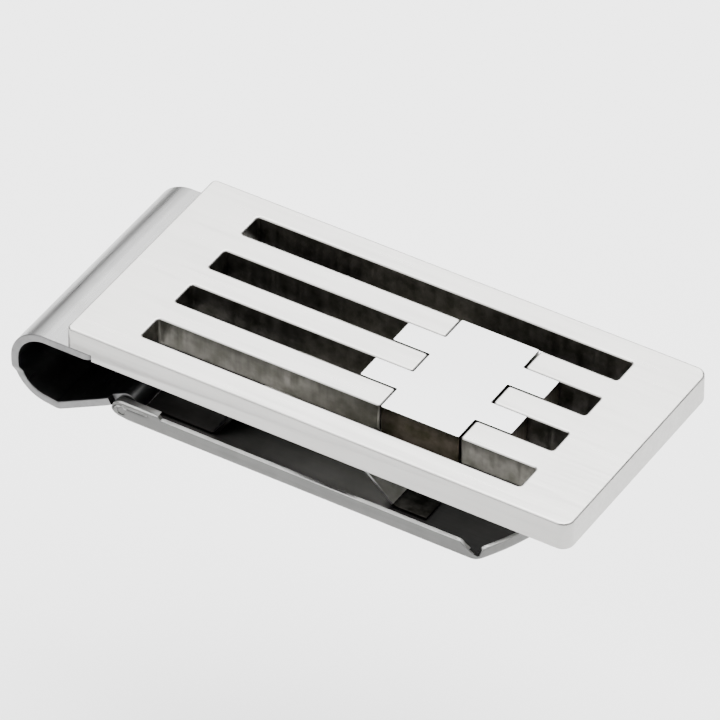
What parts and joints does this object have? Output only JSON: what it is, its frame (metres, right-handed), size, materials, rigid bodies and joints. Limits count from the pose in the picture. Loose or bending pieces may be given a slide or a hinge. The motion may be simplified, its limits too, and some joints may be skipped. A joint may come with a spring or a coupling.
{
  "type": "money clip",
  "caption": "Steel money clip: slotted face plate with an inlaid block, C-shaped spring band, and a hinged tray-shaped arm with a leaf spring that presses folded notes.",
  "frame": {"origin": "middle of the bounding box at its lowest level, which is the underside of the spring band's bend", "axes": "+X along the clip from the band's bend to the plate's free end, +Y across the clip, +Z out of the plate's outer face"},
  "size_m": [0.0594, 0.0254, 0.0106],
  "materials": {
    "face_plate": "fine satin",
    "inlay_block": "polished",
    "spring_loop": "rolled spring sheet",
    "hinge_pin": "drawn wire",
    "clamp_arm": "tumbled satin",
    "leaf_spring": "rolled spring sheet"
  },
  "bodies": {
    "face": {"face_plate": "face_plate", "inlay_block": "inlay_block", "spring_loop": "spring_loop"},
    "loop_end": {"hinge_pin": "hinge_pin"},
    "arm": {"clamp_arm": "clamp_arm", "leaf_spring": "leaf_spring"}
  },
  "joints": [
    {"name": "loop_flex", "type": "hinge", "parent": "face", "child": "loop_end", "pos_m": [-0.02564, 0, 0.00418], "axis": [0, 1, 0], "range_deg": [0, 5], "stiffness_Nm_per_rad": 12, "deforming": ["spring_loop"]},
    {"name": "arm_hinge", "type": "hinge", "parent": "loop_end", "child": "arm", "pos_m": [-0.01764, 0, 0.00322], "axis": [0, 1, 0], "range_deg": [0, 90]}
  ]
}
